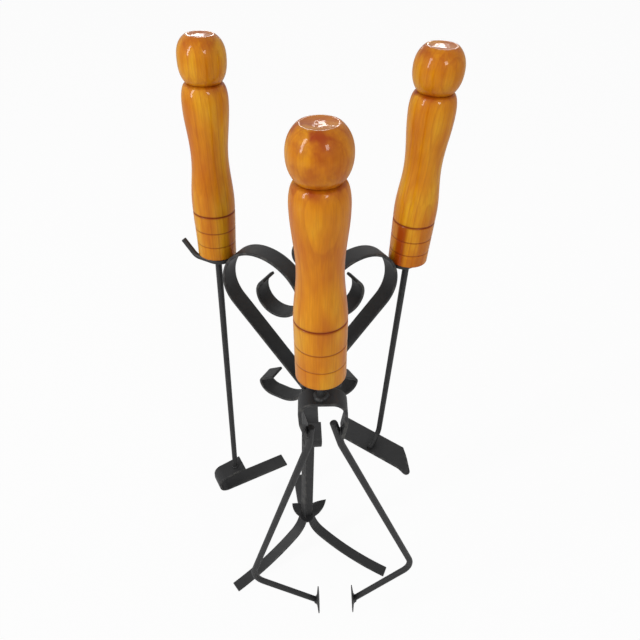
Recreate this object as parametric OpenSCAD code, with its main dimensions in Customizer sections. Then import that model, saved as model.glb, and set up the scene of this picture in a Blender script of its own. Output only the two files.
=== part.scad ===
// Fireplace tool set: tongs, scraper and shovel hanging by turned wooden
// handles from the hooks of a scrolled flat-bar stand on three legs.
// Origin: the point on the floor under the post's axis. +Z is up and the
// tongs hang at the front, towards -Y. Millimetres and degrees.

/* [Post] */
// Side of the square post
post_w = 12; // [9:0.5:13]
// Height of the post's top above the handles' lower ends
post_over = 20; // [10:1:30]
// Outer radius of the finger ring on the post's top
ring_r = 18.5; // [14:0.5:24]
// Thickness of the finger ring's rod
ring_d = 4.5; // [3:0.5:6]

/* [Arms and scrolls] */
// Width of the arms' flat bar
bar_w = 20; // [14:1:20]
// Thickness of the arms' flat bar
bar_t = 3; // [2:0.25:4]
// Height at which the arms' line meets the post's axis
arm_root = 322; // [314:1:370]
// Slope of an arm's straight stretch
arm_slope = 45.3; // [40:0.5:52]
// Radius of the bend that leads an arm into its lobe
elbow_r = 35.6; // [28:0.5:44]
// Radius of a lobe's outer shoulder
lobe_r = 42; // [36:0.5:46]
// Radius of a lobe's top
crest_r = 52; // [46:0.5:56]
// Radius of the turn beside the post
turn_r = 26; // [24:0.5:30]
// Radius of the inner scroll's underside
eye_r = 22; // [19:0.5:23]
// Radius of the inner scroll's tip
curl_r = 17; // [14:0.5:18]
// Height at which the small scrolls' line meets the post's axis, below the arms'
scroll_below = 4; // [3:1:30]
// Straight stretch of a small scroll from the post's axis
scroll_stem = 13.6; // [12:0.1:20]
// Radius of a small scroll past its straight stretch
scroll_r = 30; // [24:0.5:36]
// Level stretch at the bottom of a small scroll
scroll_flat = 12; // [4:0.5:14]
// Radius of a small scroll's outer turn
scroll_turn_r = 15; // [13:0.5:18]
// Radius at which a small scroll's tip folds back towards the post
scroll_fold_r = 5; // [4:0.5:7]
// Straight length of a small scroll's tip
scroll_tip = 18; // [8:0.5:20]
// How much lower the front scroll sits than the other two
front_scroll_drop = 16; // [10:0.5:20]
// Turn of the front scroll from its arm
front_scroll_turn = 4; // [0:0.5:5]

/* [Legs] */
// Width of the legs' flat bar
leg_w = 14.8; // [9:0.1:16]
// Thickness of the legs' flat bar
leg_t = 3; // [2:0.25:4]
// Distance from the post's axis to a leg's tip
leg_reach = 122; // [110:1:150]
// Turn of the legs from the arms
leg_turn = 66.4; // [50:0.1:70]
// Reaches of the leaf collar's points: left, right, front
leaf_reach = [24, 31, 16]; // [14:0.5:33]
// Thickness of the leaf collar
leaf_t = 2; // [1.5:0.25:3]

/* [Hooks] */
// Thickness of the hooks' round bar
hook_d = 5.5; // [3.5:0.25:6]
// Radii of the hooks' rounded roots: left, right, front
hook_r = [14.5, 10.5, 14]; // [10:0.5:16]
// Angle at which a hook's long prong turns up
hook_rise = 45; // [40:1:75]
// Straight length of a hook's turned-up tip
hook_tip = 17; // [10:1:26]
// Gaps between the handles and the lobes beside them: left, right, front
hang_gap = [1.6, 0.7, 8]; // [0.5:0.1:9]
// Sideways places of the tools on their hooks: left, right, front
hang_side = [-6.5, -2.6, 7.4]; // [-9:0.1:9]
// Lean of the hanging tools
hang_lean = 1.7; // [0:0.1:2.5]

/* [Handles] */
// Length of a handle
handle_len = 204; // [190:1:220]
// Radius of a handle's lower end
base_r = 19.6; // [18:0.1:21]
// Radius of the swell above the lowest grooves
swell_r = 21.5; // [19:0.1:22.5]
// Radius of the waist
waist_r = 18.1; // [15:0.1:19.5]
// Radius of the upper swell
belly_r = 20.9; // [19:0.1:22]
// Radius of the neck under the ball
neck_r = 16.5; // [13:0.1:17.5]
// Radius of the ball
ball_r = 22; // [20:0.1:24]
// Height of the swell above the lower end
swell_z = 55; // [50:1:62]
// Height of the waist
waist_z = 102; // [90:1:115]
// Height of the upper swell
belly_z = 150; // [140:1:156]
// Height of the neck
neck_z = 166; // [161:1:169]
// Depth of the turned grooves
groove_depth = 0.9; // [0.5:0.1:1.5]
// Width of the turned grooves
groove_w = 1.8; // [1:0.1:2.5]

/* [Rods] */
// Thickness of the tools' round rods
rod_d = 7; // [5:0.5:8]
// Length of rod inside a handle
tang = 60; // [40:1:90]

/* [Tongs] */
// Length of rod between the handle and the bow
bow_drop = 27; // [22:1:40]
// Width of the bow over its outer faces
bow_w = 43; // [36:0.5:50]
// Radius of the bow's shoulders
bow_r = 12; // [6:0.5:15]
// Straight length of the bow's legs
bow_leg = 11; // [8:0.5:20]
// Sideways place of the bow's middle from its rod
bow_side = 1.5; // [0:0.1:3]
// Angle by which both arms hang to one side
arm_swing = 2.5; // [0:0.1:4]
// Angle at which the tongs' arms spread
arm_splay = 19.3; // [17:0.1:21]
// Lengths of the arms from root to elbow: left, right
arm_upper = [251, 234]; // [220:1:260]
// Angles of the arms below the elbow: left, right
foot_slope = [50, 42]; // [38:1:54]
// Radius of the arms' elbows
arm_bend = 26; // [18:1:32]
// Distance between the gripping discs
grip_gap = 41; // [34:0.5:50]
// Radius of the gripping discs
disc_r = 16; // [12:0.5:18]
// Thickness of the gripping discs
disc_t = 2.5; // [1.5:0.25:4]
// Thickness of a gripping disc's rim
disc_rim = 1.2; // [0.8:0.1:1.5]

/* [Scraper] */
// Length of the scraper below its handle
scraper_len = 348; // [320:1:356]
// Width of the scraper's flat bar
scraper_w = 21.5; // [16:0.5:24]
// Direction of the scraper's blade
scraper_turn = -123.3; // [-180:0.5:180]
// Length of the scraper's blade
scraper_blade_len = 92.7; // [70:1:110]
// Length of the flange that carries the rod
scraper_flange = 30; // [24:0.5:36]
// Bend radius between the flange and the blade
scraper_r = 11; // [8:0.5:14]
// Straight stretch at the back of the bend
scraper_back = 6; // [2:0.5:12]

/* [Shovel] */
// Length of the shovel below its handle
shovel_len = 295; // [270:1:330]
// Direction of the shovel's blade
shovel_turn = -65.9; // [-180:0.5:180]
// Width of the shovel's blade
shovel_w = 34.4; // [26:0.2:38]
// Blade length on the long side of the rod
shovel_front = 63; // [50:1:80]
// Blade length on the short side of the rod
shovel_back = 53; // [40:1:70]
// Thickness of the shovel's blade
shovel_t = 3; // [2:0.25:4]
// Bend radius at the foot of the shovel's rod
shovel_r = 20; // [12:0.5:22]
// Radius of the rounded corner at the blade's point
shovel_round = 6; // [3:0.5:9]

/* [Hidden] */
$fn = 64;

iron = "#3f3f40";
wood = "#e0992f";

LEFT = 0;
RIGHT = 1;
FRONT = 2;
// Directions of the three arms, and of the tools that hang on them
arm_az = [150, 30, 270];

far = 900;          // longer than anything that has to be cut off
arc_step = 4;       // degrees between the points of a bent bar
rod_step = 10;      // degrees between the rings of a bent rod
rod_sides = 20;
seat = 0.5;         // how far a round bar is flattened where it is welded on
run_gap = 0.2;      // clearance between a handle and the hook under it
slit = 0.3;         // clearance at the root of the tongs' springs
bore_gap = 0.05;    // radial clearance of a tang in its handle

// ---- Bent flat bars -------------------------------------------------------
// A bar's centre line is a start [x, z], a heading, and a list of stretches:
// [length, 0] is straight and [radius, angle] turns to the left.
function after(pose, s) = s[1] == 0
    ? [pose[0] + s[0] * cos(pose[2]), pose[1] + s[0] * sin(pose[2]), pose[2]]
    : [pose[0] + s[0] * (sin(pose[2] + s[1]) - sin(pose[2])),
       pose[1] + s[0] * (cos(pose[2]) - cos(pose[2] + s[1])), pose[2] + s[1]];
function pose_at(pose, path, n, i = 0) = i >= n ? pose
    : pose_at(after(pose, path[i]), path, n, i + 1);
// Point beside a pose, side to its left
function beside(pose, side) = [pose[0] - side * sin(pose[2]), pose[1] + side * cos(pose[2])];
// Points along one stretch, without its first
function stretch(pose, s, side) = s[1] == 0 ? [beside(after(pose, s), side)]
    : [for (k = [1 : ceil(s[1] / arc_step)])
        beside(after(pose, [s[0], s[1] * k / ceil(s[1] / arc_step)]), side)];
function edge(pose, path, side) = [beside(pose, side),
    for (i = [0 : len(path) - 1]) each stretch(pose_at(pose, path, i), path[i], side)];
function reversed(list) = [for (i = [len(list) - 1 : -1 : 0]) list[i]];

module bar_outline(pose, path, t) {
    polygon(concat(edge(pose, path, -t / 2), reversed(edge(pose, path, t / 2))));
}

// Extrudes an outline of [radius, height] to both sides of its radial plane
module in_plane(w) {
    rotate([90, 0, 0])
        translate([0, 0, -w / 2])
            linear_extrude(w)
                children();
}

// ---- Bent round rods ------------------------------------------------------
// A rod starts at the origin along +Z. Each stretch is [length, radius, angle,
// roll]: a straight, then a bend towards +X turned by the roll about the rod.
// A frame on its centre line is [point, 3 x 3 matrix].
function rot_y(a) = [[cos(a), 0, sin(a)], [0, 1, 0], [-sin(a), 0, cos(a)]];
function rot_z(a) = [[cos(a), -sin(a), 0], [sin(a), cos(a), 0], [0, 0, 1]];
function along(frame, s, a) = let (turn = frame[1] * rot_z(s[3]))
    [frame[0] + frame[1] * [0, 0, s[0]] + turn * [s[1] * (1 - cos(a)), 0, s[1] * sin(a)],
     turn * rot_y(a) * rot_z(-s[3])];
function rings(s) = s[2] == 0 ? [0]
    : [for (k = [0 : ceil(s[2] / rod_step)]) s[2] * k / ceil(s[2] / rod_step)];
function frames(stretches, frame = [[0, 0, 0], rot_z(0)], i = 0) = i >= len(stretches) ? []
    : concat([for (a = rings(stretches[i])) along(frame, stretches[i], a)],
        frames(stretches, along(frame, stretches[i], stretches[i][2]), i + 1));

module bent_rod(d, stretches) {
    line = concat([[[0, 0, 0], rot_z(0)]], frames(stretches));
    n = rod_sides;
    polyhedron(
        [for (f = line, k = [0 : n - 1])
            f[0] + f[1] * [d / 2 * cos(360 * k / n), d / 2 * sin(360 * k / n), 0]],
        concat([[for (k = [0 : n - 1]) k]],
            [for (i = [0 : len(line) - 2], k = [0 : n - 1])
                [i * n + k, (i + 1) * n + k, (i + 1) * n + (k + 1) % n, i * n + (k + 1) % n]],
            [[for (k = [n - 1 : -1 : 0]) (len(line) - 1) * n + k]]));
}

// ---- Stand ----------------------------------------------------------------
bar_seat = post_w / 2 - 0.1;    // bars start inside the post's skin and are cut by it
post_corner = post_w / 2 * (cos(30) + sin(30));
// Distance of a bar's centre line from the axis where it comes back to the post
turn_x = post_corner + bar_t / 2 - 0.75;
crest_turn = 56;
curl_turn = 60;
// What the lobe takes back towards the post, without the arm's straight stretch
lobe_back = elbow_r * (1 - sin(arm_slope)) - lobe_r - crest_r * sin(crest_turn)
    - turn_r * (1 - sin(crest_turn));
arm_run = (turn_x - lobe_back) / cos(arm_slope);
arm_start = [0, arm_root, arm_slope];
arm_path = [[arm_run, 0], [elbow_r, 90 - arm_slope], [lobe_r, 90], [crest_r, crest_turn],
    [turn_r, 180 - crest_turn], [eye_r, 90], [curl_r, curl_turn]];
lobe_pose = pose_at(arm_start, arm_path, 2);
lobe_mid = [lobe_pose[0] - lobe_r, lobe_pose[1]];

// Handles' lower ends: a little above the middle of the lobes
hang_rise = 20;
hang_z = lobe_mid[1] + hang_rise;
post_top = hang_z + post_over;

module post_solid() {
    rotate([0, 0, arm_az[RIGHT]])
        translate([-post_w / 2, -post_w / 2, post_foot])
            cube([post_w, post_w, post_top - post_foot]);
}

module post() {
    color(iron)
        post_solid();
}

module post_ring() {
    color(iron)
        difference() {
            translate([0, 0, post_top + ring_r - seat])
                rotate([90, 0, 0])
                    rotate_extrude()
                        translate([ring_r - ring_d / 2, 0])
                            circle(d = ring_d);
            post_solid();
        }
}

// A flat bar bent in the radial plane at az, cut to fit against the post
module radial_bar(az, start, path, w, t) {
    difference() {
        rotate([0, 0, az])
            in_plane(w)
                intersection() {
                    bar_outline(start, path, t);
                    translate([bar_seat, 0])
                        square(far);
                }
        post_solid();
    }
}

module arm_bar(i) {
    radial_bar(arm_az[i], arm_start, arm_path, bar_w, bar_t);
}

module arm(i) {
    color(iron)
        arm_bar(i);
}

scroll_dip = 53;        // slope of a small scroll where it leaves the post
scroll_wall = 85;       // slope of its outer turn's end
scroll_lean = 147;      // and of its folded tip
scroll_path = [[scroll_stem, 0], [scroll_r, scroll_dip], [scroll_flat, 0],
    [scroll_turn_r, scroll_wall], [scroll_fold_r, scroll_lean - scroll_wall], [scroll_tip, 0]];

module scroll(az, drop = 0) {
    color(iron)
        radial_bar(az, [0, arm_root - scroll_below - drop, -scroll_dip], scroll_path, bar_w, bar_t);
}

// ---- Legs and leaf collar ---------------------------------------------------
leg_dip = 76;           // slope of a leg where it leaves the post
leg_knee = 36;          // slope of a leg past its upper bend
leg_end = 8.5;          // slope of a leg at its tip
leg_top_r = 40;
foot_flat = 0.6;        // how much of a tip's underside is ground flat
leg_x = post_w / 2 + leg_t / 2;
knee_x = leg_x + leg_top_r * (sin(leg_dip) - sin(leg_knee));
knee_drop = leg_top_r * (cos(leg_knee) - cos(leg_dip));
leg_long_r = (leg_reach - knee_x) / (sin(leg_knee) - sin(leg_end));
long_drop = leg_long_r * (cos(leg_end) - cos(leg_knee));
// Height of a leg's centre line at its tip, and where its upper bend begins
tip_z = leg_t / 2 / cos(leg_end) - foot_flat;
bend_z = tip_z + long_drop + knee_drop;
leg_weld = 7;           // height over which a leg lies against the post
leg_top = bend_z + leg_weld;
leg_start = [leg_x - leg_weld / tan(leg_dip), leg_top, -leg_dip];
leg_path = [[leg_weld / sin(leg_dip), 0], [leg_top_r, leg_dip - leg_knee],
    [leg_long_r, leg_knee - leg_end]];
post_foot = bend_z - leg_weld / 2;

module leg(i) {
    color(iron)
        radial_bar(arm_az[i] + leg_turn, leg_start, leg_path, leg_w, leg_t);
}

leaf_rise = 12;         // height of the longest leaf's point above the collar's middle
leaf_half = 10;         // half the width of a leaf
bowl_r = (pow(max(leaf_reach), 2) + pow(leaf_rise, 2)) / (2 * leaf_rise);
bowl_z = leg_top + leaf_t + bowl_r;

// A leaf from the axis to its point: the lens where two circles meet
module leaf_outline(reach) {
    mid = reach / 4;
    arc = (pow(reach - mid, 2) + pow(leaf_half, 2)) / (2 * leaf_half);
    intersection() {
        translate([0, -reach / 2])
            square(reach);
        translate([mid, leaf_half - arc])
            circle(r = arc);
        translate([mid, arc - leaf_half])
            circle(r = arc);
    }
}

module leaf_collar() {
    color(iron)
        difference() {
            intersection() {
                translate([0, 0, bowl_z])
                    difference() {
                        sphere(r = bowl_r + leaf_t);
                        sphere(r = bowl_r);
                    }
                translate([0, 0, leg_top])
                    linear_extrude(leaf_rise + 2 * leaf_t)
                        for (i = [LEFT, RIGHT, FRONT])
                            rotate([0, 0, arm_az[i]])
                                leaf_outline(leaf_reach[i]);
            }
            post_solid();
        }
}

// ---- Hooks ------------------------------------------------------------------
// Distance from the axis to a surface at height z, off outside a lobe's centre line
function lobe_out(z, off) = lobe_mid[0] + sqrt(pow(lobe_r + off, 2) - pow(z - lobe_mid[1], 2));
function hang_r(i) = lobe_out(hang_z, bar_t / 2) + hang_gap[i] + base_r;

// Where a tool hangs: the origin is the middle of its handle's lower end, +X
// points away from the post and the top leans to the clockwise side
module hang(i) {
    rotate([0, 0, arm_az[i]])
        translate([hang_r(i), hang_side[i], hang_z])
            rotate([hang_lean, 0, 0])
                children();
}

hook_z = -run_gap - hook_d / 2;
hook_root = lobe_out(hang_z + hook_z, bar_t / 2 + hook_d / 2 - seat);
short_prong = 8;        // reach of a hook's short prong past the rod
long_prong = 12;        // reach of a long prong that stays level
// A long prong turns up this far before it has passed the handle's edge
rise_in = 3;
function rise_x(i) = sqrt(pow(base_r, 2) - pow(hook_r[i] - hook_d / 2, 2)) - rise_in;
hook_turn = 10;

module hook(i, turned_up) {
    mid = hook_root + hook_r[i] - hang_r(i);
    reach = turned_up ? rise_x(i) : long_prong;
    root = [short_prong - mid, hook_r[i], 180, 0];
    color(iron)
        difference() {
            hang(i)
                translate([short_prong, -hook_r[i], hook_z])
                    rotate([0, -90, 0])
                        rotate([0, 0, 90])
                            bent_rod(hook_d, turned_up
                                ? [root, [reach - mid, hook_turn, hook_rise, -90], [hook_tip, 0, 0, 0]]
                                : [root, [reach - mid, 0, 0, 0]]);
            arm_bar(i);
        }
}

// ---- Handles ----------------------------------------------------------------
edge_round = 2;
ball_z = handle_len - 19.2;
groove_z = [13.6, 30.2, 49.1];
// Radius of the turned shape at height z, below the neck: smooth waves between
// the swells, then a rounded shoulder down to the neck
function wave(z, z0, r0, z1, r1) = r0 + (r1 - r0) * (1 - cos(180 * (z - z0) / (z1 - z0))) / 2;
function turned_r(z) = z <= swell_z ? wave(z, 0, base_r, swell_z, swell_r)
    : z <= waist_z ? wave(z, swell_z, swell_r, waist_z, waist_r)
    : z <= belly_z ? wave(z, waist_z, waist_r, belly_z, belly_r)
    : neck_r + (belly_r - neck_r) * sqrt(max(0, 1 - pow((z - belly_z) / (neck_z - belly_z), 2)));
// Angles at which the ball meets the neck and its flat top, from its middle
ball_from = -acos(neck_r / ball_r);
ball_to = asin((handle_len - ball_z) / ball_r);
body_step = 3;
ball_step = 5;

module handle_outline() {
    polygon(concat(
        [[0, 0]],
        [for (a = [0 : 30 : 90]) [turned_r(0) - edge_round * (1 - sin(a)), edge_round * (1 - cos(a))]],
        [for (z = [2 * edge_round : body_step : belly_z]) [turned_r(z), z]],
        [for (a = [10 : 10 : 90]) let (z = belly_z + (neck_z - belly_z) * sin(a)) [turned_r(z), z]],
        [for (a = [ball_from : (ball_to - ball_from) / 24 : ball_to])
            [ball_r * cos(a), ball_z + ball_r * sin(a)]],
        [[0, handle_len]]));
}

module handle_solid() {
    difference() {
        rotate_extrude()
            handle_outline();
        for (z = groove_z)
            rotate_extrude()
                polygon([[turned_r(z) - groove_depth, z], [turned_r(z) + 1, z - groove_w],
                    [turned_r(z) + 1, z + groove_w]]);
        cylinder(d = rod_d + 2 * bore_gap, h = 2 * tang, center = true);
    }
}

module handle(i) {
    color(wood)
        hang(i)
            handle_solid();
}

// ---- Tongs ------------------------------------------------------------------
spring_x = bow_w / 2 - bar_t / 2;               // bow's middle to a leg's centre line
crown_z = -bow_drop - bar_t / 2;
hinge_z = crown_z - bow_r - slit / 2;
toe_bend_r = 15;
toe_in = 12;            // angle at which a leg's lower end turns inwards
toe_len = 17.5;
spring_path = [[bow_leg, 0], [toe_bend_r, toe_in], [toe_len, 0]];
spring_start = [0, -slit / 2, -90];
toe = pose_at(spring_start, spring_path, len(spring_path));
weld_bite = 1.2;        // depth of the flat where an arm is welded to its leg
root_lean = 8;
root_up = 12;           // length of an arm above the leg's end
root_down = 19;         // and from there down to its first bend
root_bend_r = 25;
weld_at = beside(toe, bar_t / 2 + rod_d / 2 - weld_bite);
root_bend_cut = root_bend_r * tan((arm_splay - root_lean) / 2);

module tongs_rod() {
    color(iron)
        hang(FRONT)
            translate([0, 0, -bow_drop])
                cylinder(d = rod_d, h = bow_drop + tang);
}

module tongs_bow() {
    color(iron)
        hang(FRONT)
            translate([0, bow_side, 0])
                rotate([0, 0, 90])
                    in_plane(bar_w)
                        bar_outline([spring_x, crown_z - bow_r, 90],
                            [[bow_r, 90], [2 * (spring_x - bow_r), 0], [bow_r, 90]], bar_t);
}

// One half of the tongs below the bow's crown. The origin is on the line about
// which the half swings, +X points inwards and +Z up. side is 1 on the right.
module half(side) {
    hang(FRONT)
        translate([0, bow_side + side * spring_x, hinge_z])
            rotate([arm_swing, 0, 0])
                rotate([0, 0, -90 * side])
                    children();
}

module spring_bar() {
    in_plane(bar_w)
        bar_outline(spring_start, spring_path, bar_t);
}

module tongs_spring(side) {
    color(iron)
        half(side)
            spring_bar();
}

// Distances inwards of an arm's elbow and end, and its length below the elbow
function elbow_x(k) = weld_at[0] - root_down * sin(root_lean) - arm_upper[k] * sin(arm_splay);
function elbow_z(k) = weld_at[1] - root_down * cos(root_lean) - arm_upper[k] * cos(arm_splay);
grip_x = spring_x - grip_gap / 2 - disc_t;
function foot_len(k) = (grip_x - elbow_x(k)) / sin(foot_slope[k]);
function grip_z(k) = elbow_z(k) - foot_len(k) * cos(foot_slope[k]);
function elbow_cut(k) = arm_bend * tan((arm_splay + foot_slope[k]) / 2);

module tongs_arm(side, k) {
    color(iron)
        half(side)
            difference() {
                translate([weld_at[0] + root_up * sin(root_lean), 0, weld_at[1] + root_up * cos(root_lean)])
                    rotate([0, 180 + root_lean, 0])
                        bent_rod(rod_d, [
                            [root_up + root_down - root_bend_cut, root_bend_r, arm_splay - root_lean, 0],
                            [arm_upper[k] - root_bend_cut - elbow_cut(k), arm_bend,
                                arm_splay + foot_slope[k], 180],
                            [foot_len(k) - elbow_cut(k) + rod_d, 0, 0, 0]]);
                spring_bar();
                translate([grip_x, -rod_d, grip_z(k) - disc_r])
                    cube([2 * disc_r, 2 * rod_d, 2 * disc_r]);
            }
}

module tongs_disc(side, k) {
    color(iron)
        half(side)
            translate([grip_x, 0, grip_z(k)])
                rotate([0, 90, 0])
                    rotate_extrude()
                        polygon([[0, 0], [rod_d, 0], [disc_r, disc_t - disc_rim],
                            [disc_r, disc_t], [0, disc_t]]);
}

// ---- Scraper ----------------------------------------------------------------
flange_tilt = 12;
flange_over = 11;       // how far the flange reaches past its rod
blade_rise = 4;         // slope of the blade towards its free end
flange_start = [flange_over, flange_over * tan(flange_tilt) - scraper_len, 180 + flange_tilt];
scraper_path = [[scraper_flange, 0], [scraper_r, 90 - flange_tilt], [scraper_back, 0],
    [scraper_r, 90 + blade_rise], [scraper_blade_len, 0]];

module scraper_bar() {
    rotate([0, 0, scraper_turn])
        in_plane(scraper_w)
            bar_outline(flange_start, scraper_path, bar_t);
}

module scraper_rod() {
    color(iron)
        hang(LEFT)
            difference() {
                translate([0, 0, -scraper_len])
                    cylinder(d = rod_d, h = scraper_len + tang);
                scraper_bar();
            }
}

module scraper_blade() {
    color(iron)
        hang(LEFT)
            scraper_bar();
}

// ---- Shovel -----------------------------------------------------------------
shovel_far = 7.5;       // the blade's far edge from the rod's axis
shovel_near = shovel_w - shovel_far;
far_corner = shovel_front - 26;
tip_bend_r = 20;
tip_drop = 28;          // angle at which the blade's point turns down
tip_len = 10;
tip_x = shovel_front - tip_bend_r * sin(tip_drop) - tip_len * cos(tip_drop);
blade_mid = -shovel_len - shovel_t / 2;
tip_low = tip_len * sin(tip_drop) + tip_bend_r * (1 - cos(tip_drop));
lying_z = -shovel_len + rod_d / 2 - seat;
lying_end = 4;          // distance from the rod's end to the blade's near edge

// The blade from above: a strap with one slanted end and a rounded point
module shovel_outline() {
    mid = [shovel_front - shovel_round, shovel_round - shovel_near];
    to = [far_corner, shovel_far] - mid;
    turn = atan2(to[1], to[0]) - acos(shovel_round / norm(to));
    polygon(concat([[-shovel_back, shovel_far], [-shovel_back, -shovel_near]],
        [for (k = [0 : 8]) let (a = -90 + (turn + 90) * k / 8)
            mid + shovel_round * [cos(a), sin(a)]],
        [[far_corner, shovel_far]]));
}

module shovel_plate() {
    intersection() {
        translate([0, shovel_w, 0])
            in_plane(4 * shovel_w)
                bar_outline([shovel_front + 1, blade_mid - tip_low, 180 - tip_drop],
                    [[tip_len + 1 / cos(tip_drop), 0], [tip_bend_r, tip_drop], [tip_x + shovel_back, 0]],
                    shovel_t);
        translate([0, 0, -shovel_len - 2 * shovel_w])
            linear_extrude(4 * shovel_w)
                shovel_outline();
    }
}

module shovel_rod() {
    color(iron)
        hang(RIGHT)
            rotate([0, 0, shovel_turn])
                difference() {
                    translate([0, 0, tang])
                        rotate([0, 0, 90])
                            rotate([0, 180, 0])
                                bent_rod(rod_d, [[tang - lying_z - shovel_r, shovel_r, 90, 0],
                                    [shovel_near - lying_end - shovel_r, 0, 0, 0]]);
                    shovel_plate();
                }
}

module shovel_blade() {
    color(iron)
        hang(RIGHT)
            rotate([0, 0, shovel_turn])
                shovel_plate();
}

// ---- All pieces -------------------------------------------------------------
post();
post_ring();
leaf_collar();
leg(LEFT);  // leg_left
leg(FRONT);  // leg_right
leg(RIGHT);  // leg_back
arm(LEFT);  // arm_left
arm(RIGHT);  // arm_right
arm(FRONT);  // arm_front
scroll(arm_az[LEFT]);  // scroll_left
scroll(arm_az[RIGHT]);  // scroll_right
scroll(arm_az[FRONT] + front_scroll_turn, front_scroll_drop);  // scroll_front
hook(LEFT, true);  // hook_left
hook(RIGHT, true);  // hook_right
hook(FRONT, false);  // hook_front
handle(FRONT);  // tongs_handle
tongs_rod();
tongs_bow();
tongs_spring(-1);  // tongs_spring_left
tongs_spring(1);  // tongs_spring_right
tongs_arm(-1, 0);  // tongs_arm_left
tongs_arm(1, 1);  // tongs_arm_right
tongs_disc(-1, 0);  // tongs_disc_left
tongs_disc(1, 1);  // tongs_disc_right
handle(LEFT);  // scraper_handle
scraper_rod();
scraper_blade();
handle(RIGHT);  // shovel_handle
shovel_rod();
shovel_blade();
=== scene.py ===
"""Fireplace tool set: tongs, scraper and shovel with turned wooden handles, hung
on a scrolled stand of flat bar. Each visible piece is a surface worked out from
the object's own sizes, in millimetres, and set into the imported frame."""

import bpy
import numpy as np
from mathutils import Matrix


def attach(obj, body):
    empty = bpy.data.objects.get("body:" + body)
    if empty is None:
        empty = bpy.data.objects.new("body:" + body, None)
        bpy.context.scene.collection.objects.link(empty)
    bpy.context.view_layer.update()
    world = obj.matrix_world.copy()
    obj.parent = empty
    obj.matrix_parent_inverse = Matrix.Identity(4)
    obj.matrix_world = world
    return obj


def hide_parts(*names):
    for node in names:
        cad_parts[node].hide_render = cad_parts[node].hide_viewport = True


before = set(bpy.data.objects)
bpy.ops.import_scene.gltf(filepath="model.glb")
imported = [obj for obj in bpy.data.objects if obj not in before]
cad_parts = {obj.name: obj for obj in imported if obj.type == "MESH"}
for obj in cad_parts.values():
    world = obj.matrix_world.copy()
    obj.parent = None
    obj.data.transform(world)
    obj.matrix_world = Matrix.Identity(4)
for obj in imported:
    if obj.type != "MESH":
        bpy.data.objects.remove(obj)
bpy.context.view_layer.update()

MM = 0.001


# ---- Objects and camera -------------------------------------------------------
def put(name, data, place=np.eye(4)):
    """Makes an object of a mesh, camera or lamp, at a 4 x 4 place."""
    obj = bpy.data.objects.new(name, data)
    obj.matrix_world = Matrix(place.tolist())
    bpy.context.scene.collection.objects.link(obj)
    return obj


def facing(right, up, back, at):
    """4 x 4 place at a point, its columns the right, the up and the back of what
    stands there."""
    place = np.eye(4)
    place[:3, :3] = np.column_stack([right, up, back])
    place[:3, 3] = at
    return place


def place_camera():
    """Looks down at the tools from in front: a yaw about the vertical, a dip below
    the horizon and a roll about the line of sight."""
    yaw, dip, roll = np.radians([-0.91, 42.14, -0.97])
    level = np.array([np.cos(yaw), np.sin(yaw), 0])
    look = np.array([-np.sin(yaw) * np.cos(dip), np.cos(yaw) * np.cos(dip), -np.sin(dip)])
    down = np.cross(look, level)
    right = np.cos(roll) * level + np.sin(roll) * down
    up = np.sin(roll) * level - np.cos(roll) * down
    data = bpy.data.cameras.new("camera")
    data.lens, data.sensor_width = 33.49, 36
    data.shift_x, data.shift_y = 0.0168, 0.0707
    at = (-0.00786, -0.48052, 0.78837)
    bpy.context.scene.camera = put("camera", data, facing(right, up, -look, at))


place_camera()

# ---- Sizes, in millimetres and degrees ------------------------------------------
# Lists of three follow this order of the arms, hooks and tools
LEFT, RIGHT, FRONT = 0, 1, 2
SIDES = ["left", "right", "front"]
ARM_AZ = [150, 30, 270]

# Square post, how far its top stands above the handles' feet, and the ring on it
POST_W, POST_SOFT, POST_OVER = 12, 0.9, 20
RING_R, RING_D = 18.5, 4.5

# Flat bar. A start is x, z and heading in the bar's own upright plane; a path is
# straights (length, 0) and arcs (radius, angle)
BAR_W, BAR_T, LOBE_R = 20, 3, 42
ARM_START = (0, 322, 45.3)
ARM_PATH = [(125.4, 0), (35.6, 44.7), (LOBE_R, 90), (52, 56), (26, 124), (22, 90), (17, 60)]
# Small scrolls: height and dip of the root, then how much lower each one sits and how
# far it is turned round the post
SCROLL_ROOT, SCROLL_DIP, SCROLL_DROP, SCROLL_TURN = 318, 53, [0, 0, 16], [0, 0, 4]
SCROLL_PATH = [(13.6, 0), (30, 53), (12, 0), (15, 85), (5, 62), (18, 0)]
# Each leg stands a turn past its arm. It dips from its weld on the post, bends at a
# knee, and levels out to its end, which is ground flat underneath
LEG_W, LEG_T, LEG_TURN, LEG_WELD, LEG_DIP, FOOT_FLAT = 14.8, 3, 66.4, 7, 76, 0.6
LEG_KNEE, LEG_LONG = (40, 40), (225.5, 27.5)

# Collar of three leaves: each leaf's reach from the axis, half width, depth of the dish
# at the longest leaf's point, and thickness
LEAF_REACH, LEAF_HALF, LEAF_RISE, LEAF_T = [24, 31, 16], 10, 12, 2

# Where each handle's foot hangs: above the lobe's middle, clear of the lobe, to the
# side, and its lean
HANG_RISE, HANG_GAP, HANG_SIDE, HANG_LEAN = 20, [1.6, 0.7, 8], [-6.5, -2.6, 7.4], 1.7

# Hooks: rod, radius between the prongs, gap under the handle, flat where the root is
# welded, how far the plain prongs reach past the handle's middle, the upturned prong
HOOK_D, HOOK_R, HOOK_GAP, HOOK_FLAT = 5.5, [14.5, 10.5, 14], 0.2, 0.5
PRONG_START, PRONG_END = 8, 12
PRONG_BEND, PRONG_RISE, PRONG_TIP = 10, 45, 17

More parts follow.
